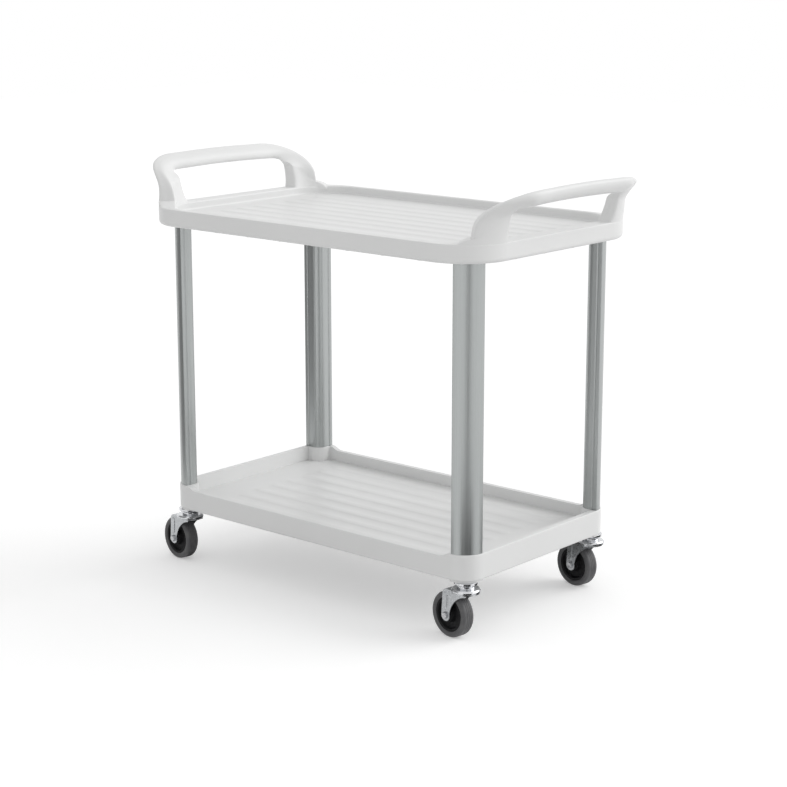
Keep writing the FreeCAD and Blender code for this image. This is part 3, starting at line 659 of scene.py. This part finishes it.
def make_bolt(corner):
    """An axle bolt with a washer face under its head and a thread where it stands out of the nut."""
    node, place = "caster_bolt_" + corner, caster_place(corner)
    low, high = extent(node, place)
    nut_low, nut_high = extent("caster_nut_" + corner, place)
    middle = (nut_low + nut_high) / 2
    flats = nut_high.z - nut_low.z
    shank = AXLE_DIAMETER / 2
    head = hexagon_rings(middle, -nut_low.y, low.y, flats)
    rings = [fastener_ring(middle, low.y + HEAD_DISH_DEPTH, shank * HEAD_DISH_SHARE)] + head[::-1]
    rings.append(fastener_ring(middle, -nut_low.y, shank))
    y = nut_low.y - THREAD_PITCH
    while y < high.y - THREAD_PITCH:
        for along, deep in THREAD_SECTION:
            radius = shank - THREAD_DEPTH * deep
            rings.append(fastener_ring(middle, y + THREAD_PITCH * along, radius))
        y += THREAD_PITCH
    rings.append(fastener_ring(middle, y, shank))
    rings.append(fastener_ring(middle, high.y - BOLT_TIP, shank))
    rings.append(fastener_ring(middle, high.y, shank - BOLT_TIP))
    ring_piece("bolt_" + corner, rings, place, node, False)


def make_nut(corner):
    """A lock nut: a hexagon with a round collar that grips the bolt."""
    node, place = "caster_nut_" + corner, caster_place(corner)
    low, high = extent(node, place)
    middle = (low + high) / 2
    flats = high.z - low.z
    shoulder = high.y - NUT_COLLAR_HEIGHT
    bore = AXLE_DIAMETER / 2 + NUT_BORE_GAP
    collar = flats / 2 - FACE_CHAMFER - NUT_COLLAR_INSET
    rings = [fastener_ring(middle, low.y, bore)] + hexagon_rings(middle, low.y, shoulder, flats)
    rings.append(fastener_ring(middle, shoulder, collar))
    for step in range(NUT_COLLAR_STEPS + 1):
        turn = math.pi / 2 * step / NUT_COLLAR_STEPS
        y = high.y - NUT_COLLAR_ROUND * (1 - math.sin(turn))
        rings.append(fastener_ring(middle, y, collar - NUT_COLLAR_ROUND * (1 - math.cos(turn))))
    rings.append(fastener_ring(middle, high.y, bore + NUT_BORE_CHAMFER))
    rings.append(fastener_ring(middle, high.y - NUT_BORE_CHAMFER, bore))
    ring_piece("nut_" + corner, rings, place, node, True)


def make_fork(corner):
    """A pressed fork: the CAD solid with its crown rolled down at the rear and its edges rounded."""
    node = "caster_fork_" + corner
    place = caster_place(corner)
    work = bmesh.new()
    work.from_mesh(nodes[node].data)
    work.transform(place.inverted())
    bmesh.ops.remove_doubles(work, verts=work.verts, dist=NEAR)
    bmesh.ops.dissolve_limit(work, angle_limit=FLAT_ANGLE, verts=work.verts, edges=work.edges)
    top = max(vertex.co.z for vertex in work.verts)
    rear = min(vertex.co.x for vertex in work.verts if vertex.co.z > top - FORK_CROWN_BAND)
    middle = Vector((rear + FORK_ROLL, 0, top - FORK_ROLL))
    for step in range(FORK_ROLL_STEPS):
        reach = FORK_ROLL * step / FORK_ROLL_STEPS
        for axis in (Vector((-1, 0, 0)), UP):
            everything = work.verts[:] + work.edges[:] + work.faces[:]
            cut = middle + axis * reach
            bmesh.ops.bisect_plane(work, geom=everything, plane_co=cut, plane_no=axis)
    for vertex in work.verts:
        away = vertex.co - middle
        if away.x < 0 and away.z > 0:
            share = max(-away.x, away.z) / math.hypot(away.x, away.z)
            vertex.co.x = middle.x + away.x * share
            vertex.co.z = middle.z + away.z * share
    work.transform(place)
    mesh = bpy.data.meshes.new("fork_" + corner)
    work.to_mesh(mesh)
    work.free()
    mesh.shade_smooth()
    soften(add_piece(mesh, "fork_" + corner, node), FORK_BEVEL)


for shelf, rib_end in RIB_ENDS.items():
    make_tray(shelf, rib_end)
for corner in CORNERS:
    make_tyre(corner)
    make_fork(corner)
    make_bolt(corner)
    make_nut(corner)
    for start, width in BEVEL_WIDTHS.items():
        soften(nodes[start + corner], width)


# Stage: floor, light and camera


def heading(azimuth):
    """The level direction at an azimuth in degrees, round from -Y to +X."""
    turn = math.radians(azimuth)
    return Vector((math.sin(turn), -math.cos(turn), 0))


def make_floor():
    """A plain pale floor that reads as white and keeps the cart's shadow."""
    mesh = bpy.data.meshes.new("floor")
    reach = FLOOR_REACH
    corners = [(-reach, -reach, 0), (reach, -reach, 0), (reach, reach, 0), (-reach, reach, 0)]
    mesh.from_pydata(corners, [], [(0, 1, 2, 3)])
    floor = put_in_scene("floor", mesh)
    g = Graph("floor_white")
    dark, pale = FLOOR_GREYS
    colour = g.mixed(g.noise(scale=3.0, detail=2.0), (dark,) * 3, (pale,) * 3)
    g.finish(colour, 1.0, Specular_IOR_Level=0.0, Emission_Color=WHITE)
    rays = g.add("ShaderNodeLightPath").outputs
    seen = g.maths("MAXIMUM", rays["Is Camera Ray"], rays["Is Glossy Ray"])
    g.link(g.maths("MULTIPLY", seen, FLOOR_LIFT), g.shader.inputs["Emission Strength"])
    mesh.materials.append(g.material)


def make_world():
    """Even soft light all round, with plain white where it is seen directly or in a reflection."""
    world = bpy.data.worlds.new("studio")
    world.use_nodes = True
    bpy.context.scene.world = world
    tree = world.node_tree
    soft = tree.nodes["Background"]
    soft.inputs["Color"].default_value = WHITE
    soft.inputs["Strength"].default_value = WORLD_STRENGTH
    plain = tree.nodes.new("ShaderNodeBackground")
    plain.inputs["Color"].default_value = WHITE
    plain.inputs["Strength"].default_value = 1.0
    rays = tree.nodes.new("ShaderNodeLightPath").outputs
    seen = rays["Is Camera Ray"]
    for kind in ("Is Glossy Ray", "Is Transmission Ray"):
        either = tree.nodes.new("ShaderNodeMath")
        either.operation = "MAXIMUM"
        tree.links.new(seen, either.inputs[0])
        tree.links.new(rays[kind], either.inputs[1])
        seen = either.outputs[0]
    mix = tree.nodes.new("ShaderNodeMixShader")
    tree.links.new(seen, mix.inputs["Fac"])
    tree.links.new(soft.outputs[0], mix.inputs[1])
    tree.links.new(plain.outputs[0], mix.inputs[2])
    tree.links.new(mix.outputs[0], tree.nodes["World Output"].inputs["Surface"])


def make_key_light():
    """A broad, even light from one side."""
    light = bpy.data.lights.new("key", "SUN")
    light.angle = math.radians(KEY_SPREAD)
    light.energy = KEY_STRENGTH
    turn, rise = math.radians(KEY_AZIMUTH), math.radians(KEY_ELEVATION)
    level = math.cos(rise)
    towards = Vector((math.cos(turn) * level, math.sin(turn) * level, math.sin(rise)))
    lamp = put_in_scene("key", light)
    lamp.location = towards * KEY_DISTANCE
    lamp.rotation_euler = towards.to_track_quat("Z", "Y").to_euler()


def add_card(name, mesh, level):
    """Puts a card of this grey in the scene, for reflections only."""
    card = put_in_scene(name, mesh)
    g = Graph(name)
    mottle = g.noise(scale=2.0, detail=1.0)
    shade = g.mixed(mottle, (level,) * 3, (level * CARD_MOTTLE,) * 3)
    g.finish(BLACK, 1.0, Specular_IOR_Level=0.0, Emission_Strength=1.0)
    g.link(shade, g.shader.inputs["Emission Color"])
    mesh.materials.append(g.material)
    card.visible_camera = False
    card.visible_diffuse = False
    card.visible_shadow = False
    card.visible_transmission = False


def make_grey_card(name, azimuth, distance, width, height, level):
    """A standing card that gives metal its darker bands."""
    turn = math.radians(azimuth)
    across = Vector((math.cos(turn), math.sin(turn), 0)) * width / 2
    low = heading(azimuth) * distance
    high = low + UP * height
    mesh = bpy.data.meshes.new(name)
    mesh.from_pydata([low - across, low + across, high + across, high - across], [], [(0, 1, 2, 3)])
    add_card(name, mesh, level)


def make_floor_card(name, spot):
    """Dark sectors on the floor round a spot, which give a caster's plating its contrast."""
    mesh = bpy.data.meshes.new(name)
    points, faces = [], []
    for start, stop, near, far in FLOOR_CARD_SECTORS:
        for step in range(SECTOR_STEPS):
            first = len(points)
            for share, radius in ((step, near), (step + 1, near), (step + 1, far), (step, far)):
                azimuth = start + (stop - start) * share / SECTOR_STEPS
                points.append(spot + heading(azimuth) * radius)
            faces.append((first, first + 1, first + 2, first + 3))
    mesh.from_pydata(points, [], faces)
    add_card(name, mesh, FLOOR_CARD_LEVEL)


def make_camera():
    """The photograph's view: slightly from above, towards the right end and the front."""
    azimuth, pitch = math.radians(CAMERA_AZIMUTH), math.radians(CAMERA_PITCH)
    level = math.cos(pitch)
    forward = Vector((-math.sin(azimuth) * level, math.cos(azimuth) * level, -math.sin(pitch)))
    camera = bpy.data.cameras.new("camera")
    camera.lens = CAMERA_LENS
    camera.clip_end = CAMERA_FAR
    holder = put_in_scene("camera", camera)
    holder.location = CAMERA_PLACE
    holder.rotation_euler = forward.to_track_quat("-Z", "Y").to_euler()
    bpy.context.scene.camera = holder


make_floor()
make_world()
make_key_light()
for card in GREY_CARDS:
    make_grey_card(*card)
front_right = Vector(joints["front_right_swivel"]["pos_m"])
front_right.z = FLOOR_CARD_HEIGHT
make_floor_card("card_floor", front_right)
make_camera()
bpy.context.scene.view_settings.view_transform = "Standard"
